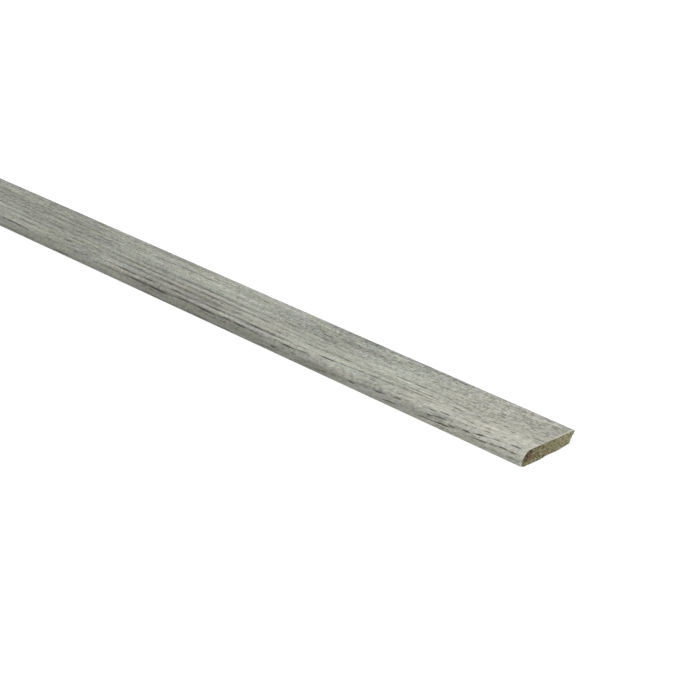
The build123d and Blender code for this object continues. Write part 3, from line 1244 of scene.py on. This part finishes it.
def break_out(bm, section):
    """Lifts the back edge at the sawn ends to where it broke, along the undercut at the floor edge."""
    edge = section.floor_stop(0)[0]
    for vert in bm.verts:
        depth = LENGTH / 2 - abs(vert.co.x)
        if depth < DAMAGE_DEPTH and vert.co.z < TEAR_REACH:
            side = math.copysign(1, vert.co.x)
            torn = torn_height(vert.co.y, side, section) * (1 - ease(depth, 0, DAMAGE_DEPTH))
            lift = torn * (TEAR_REACH - vert.co.z) / TEAR_REACH
            vert.co.y += lift * math.tan(section.lean) * ease(vert.co.y, edge - UNDERCUT_BAND, edge)
            vert.co.z += lift


def crush_undercut(bm, section):
    """Hollows the undercut a little at the near end, between the tip and the broken back edge."""
    floor_stop = section.floor_stop(0)
    for vert in bm.verts:
        depth = NEAR_END - vert.co.x
        if depth < DAMAGE_DEPTH:
            edge = floor_stop[0] + (vert.co.z - floor_stop[1]) * math.tan(section.lean)
            hollow = ease(vert.co.z, *HOLLOW_FOOT) * ease(vert.co.z, *HOLLOW_HEAD)
            inward = ease(vert.co.y, edge - UNDERCUT_BAND, edge) * ease(depth, DAMAGE_DEPTH, 0)
            vert.co.y -= section.crush * hollow * inward


def saw_ends(bm, pit, settings):
    """Sinks pits between the cut fibres of both sawn ends."""
    for vert in bm.verts:
        if LENGTH / 2 - abs(vert.co.x) < ON_END:
            lumps = ease(wear(vert.co, LUMP_SIZE, 3), *LUMP_RANGE)
            holes = ease(wear(vert.co, HOLE_SIZE), *HOLE_RANGE)
            vert[pit] = min(1.0, LUMP_SHARE * lumps + HOLE_SHARE * holes)
            vert.co.x -= math.copysign(settings.pit_depth * vert[pit], vert.co.x)


def lay_out_core(bm, around):
    """Lays the core out for baking: sides in rows, with most room left to the sawn ends."""
    baked = bm.loops.layers.uv.new("OFBake")
    travel = layer_of(bm, "travel")
    row_length = LENGTH / CORE_BAKE_ROWS
    row_height = CORE_BAKE_SHARE / CORE_BAKE_ROWS
    for face in bm.faces:
        middle = face.calc_center_median()
        row = min(CORE_BAKE_ROWS - 1, int((middle.x - CORE_LOW.x) / row_length))
        travels = [loop.vert[travel] for loop in face.loops]
        closing = max(travels) - min(travels) > around / 2
        for loop in face.loops:
            place = loop.vert.co
            if face.material_index == 0:
                band = END_BAKE_BANDS[middle.x > 0]
                along = (place.y - CORE_LOW.y) / (CORE_HIGH.y - CORE_LOW.y)
                share = place.z / CORE_HIGH.z
            else:
                band = (row * row_height, (row + ROW_FILL) * row_height)
                along = (place.x - CORE_LOW.x) / row_length - row
                gone = loop.vert[travel]
                share = (gone + around if closing and gone < around / 2 else gone) / around
            loop[baked].uv = (along, band[0] + share * (band[1] - band[0]))


def model_floor(width, drop):
    """A wide floor just under the strip."""
    bm = bmesh.new()
    bmesh.ops.create_grid(bm, x_segments=8, y_segments=8, size=width / 2)
    bmesh.ops.translate(bm, verts=bm.verts[:], vec=(0, 0, -drop))
    mesh = bpy.data.meshes.new("floor")
    bm.to_mesh(mesh)
    bm.free()
    return bpy.data.objects.new("floor", mesh)


def make_floor_paper(settings):
    """White sheet under the strip, lit from below so that no shadow shows on it."""
    material, _, shader = new_finish("light_table")
    shader.inputs["Base Color"].default_value = colour_of(settings.floor)
    shader.inputs["Emission Color"].default_value = (1, 1, 1, 1)
    shader.inputs["Emission Strength"].default_value = settings.floor_glow
    shader.inputs["Roughness"].default_value = 0.9
    shader.inputs["Specular IOR Level"].default_value = 0.0
    return material


def camera_place(settings):
    """Where the camera stands and how it is turned, so that the near tip falls on its pixel."""
    turn, pitch = settings.heading, settings.pitch
    right = Vector((math.cos(turn), math.sin(turn), 0))
    ahead = Vector((-math.sin(turn), math.cos(turn), 0))
    forward = math.cos(pitch) * ahead - math.sin(pitch) * Vector((0, 0, 1))
    upward = right.cross(forward)
    pixel = settings.depth * SENSOR / (settings.lens * IMAGE_SIDE)
    sideways = (settings.tip_pixel[0] - IMAGE_SIDE / 2) * pixel
    raised = (IMAGE_SIDE / 2 - settings.tip_pixel[1]) * pixel
    target = Vector((NEAR_END, FOIL_HIGH.y, 0))
    place = target - forward * settings.depth - right * sideways - upward * raised
    return Matrix.Translation(place) @ Matrix((right, upward, -forward)).transposed().to_4x4()


def make_sky(settings):
    """Even white light from all sides."""
    world = bpy.data.worlds.new("studio_sky")
    world.use_nodes = True
    sky = world.node_tree.nodes["Background"]
    sky.inputs["Color"].default_value = (1, 1, 1, 1)
    sky.inputs["Strength"].default_value = settings.sky
    return world


def make_softbox(settings):
    """Wide soft light overhead."""
    key = bpy.data.lights.new("overhead_softbox", "SUN")
    key.energy = settings.key
    key.angle = settings.key_spread
    lamp = bpy.data.objects.new("overhead_softbox", key)
    lamp.location = (0, 0, LAMP_HEIGHT)
    return lamp


def make_camera(settings):
    """Camera that looks at the near end as the photo does."""
    data = bpy.data.cameras.new("photo_camera")
    data.sensor_fit = "HORIZONTAL"
    data.sensor_width = SENSOR
    data.lens = settings.lens
    data.clip_start, data.clip_end = CAMERA_CLIP
    camera = bpy.data.objects.new("photo_camera", data)
    camera.matrix_world = camera_place(settings)
    return camera


class SKIRTING_OT_decor_foil(bpy.types.Operator):
    """Model the printed foil that wraps the strip's face and both long edges"""

    bl_idname = "skirting.decor_foil"
    bl_label = "Decor Foil"

    def execute(self, context):
        settings = context.scene.skirting
        section = Section(settings.section)
        finishes = (make_foil_print(settings.foil), make_cut_edge(settings.foil))
        bm = model_foil(section, settings.foil)
        finish_piece(bm, "printed_foil", finishes, "decor_foil")
        return {"FINISHED"}


class SKIRTING_OT_fibreboard_core(bpy.types.Operator):
    """Model the fibreboard core with its sawn ends"""

    bl_idname = "skirting.fibreboard_core"
    bl_label = "Fibreboard Core"

    def execute(self, context):
        settings = context.scene.skirting
        section = Section(settings.section)
        finishes = (make_sawn_board(section, settings.core), make_sanded_board(settings.core))
        bm = model_core(section, settings.core)
        finish_piece(bm, "sawn_core", finishes, "fibreboard_core")
        return {"FINISHED"}


class SKIRTING_OT_studio(bpy.types.Operator):
    """Set the pale floor, the soft light and the camera"""

    bl_idname = "skirting.studio"
    bl_label = "Studio"

    def execute(self, context):
        scene = context.scene
        settings = scene.skirting.stage
        floor = model_floor(FLOOR_WIDTH, FLOOR_DROP)
        floor.data.materials.append(make_floor_paper(settings))
        lamp, camera = make_softbox(settings), make_camera(settings)
        for each in (floor, lamp, camera):
            scene.collection.objects.link(each)
        scene.world = make_sky(settings)
        scene.camera = camera
        scene.view_settings.view_transform = "Standard"
        return {"FINISHED"}


class SKIRTING_PT_strip(bpy.types.Panel):
    """The strip's pieces and their settings"""

    bl_idname = "SKIRTING_PT_strip"
    bl_label = "Skirting Strip"
    bl_space_type = "VIEW_3D"
    bl_region_type = "UI"
    bl_category = "Skirting"

    def draw(self, context):
        settings = context.scene.skirting
        for group, operator in PANEL_ROWS:
            box = self.layout.box()
            if operator:
                box.operator(operator)
            for name in getattr(settings, group).bl_rna.properties.keys():
                if name not in ("rna_type", "name"):
                    box.prop(getattr(settings, group), name)


class SkirtingSettings(bpy.types.PropertyGroup):
    """All settings of the strip and its studio."""

    section: bpy.props.PointerProperty(name="Section", description="Shapes", type=SectionSettings)
    foil: bpy.props.PointerProperty(name="Foil", description="Decor foil", type=FoilSettings)
    core: bpy.props.PointerProperty(name="Core", description="Fibreboard core", type=CoreSettings)
    stage: bpy.props.PointerProperty(name="Stage", description="Studio", type=StageSettings)


CLASSES = (
    SectionSettings, FoilSettings, CoreSettings, StageSettings, SkirtingSettings,
    SKIRTING_OT_decor_foil, SKIRTING_OT_fibreboard_core, SKIRTING_OT_studio, SKIRTING_PT_strip,
)
PANEL_ROWS = (
    ("section", None),
    ("foil", SKIRTING_OT_decor_foil.bl_idname),
    ("core", SKIRTING_OT_fibreboard_core.bl_idname),
    ("stage", SKIRTING_OT_studio.bl_idname),
)


def register():
    for each in CLASSES:
        bpy.utils.register_class(each)
    bpy.types.Scene.skirting = bpy.props.PointerProperty(type=SkirtingSettings)


def unregister():
    del bpy.types.Scene.skirting
    for each in reversed(CLASSES):
        bpy.utils.unregister_class(each)


def main():
    register()
    bpy.ops.skirting.decor_foil()
    bpy.ops.skirting.fibreboard_core()
    bpy.ops.skirting.studio()


if __name__ == "__main__":
    main()
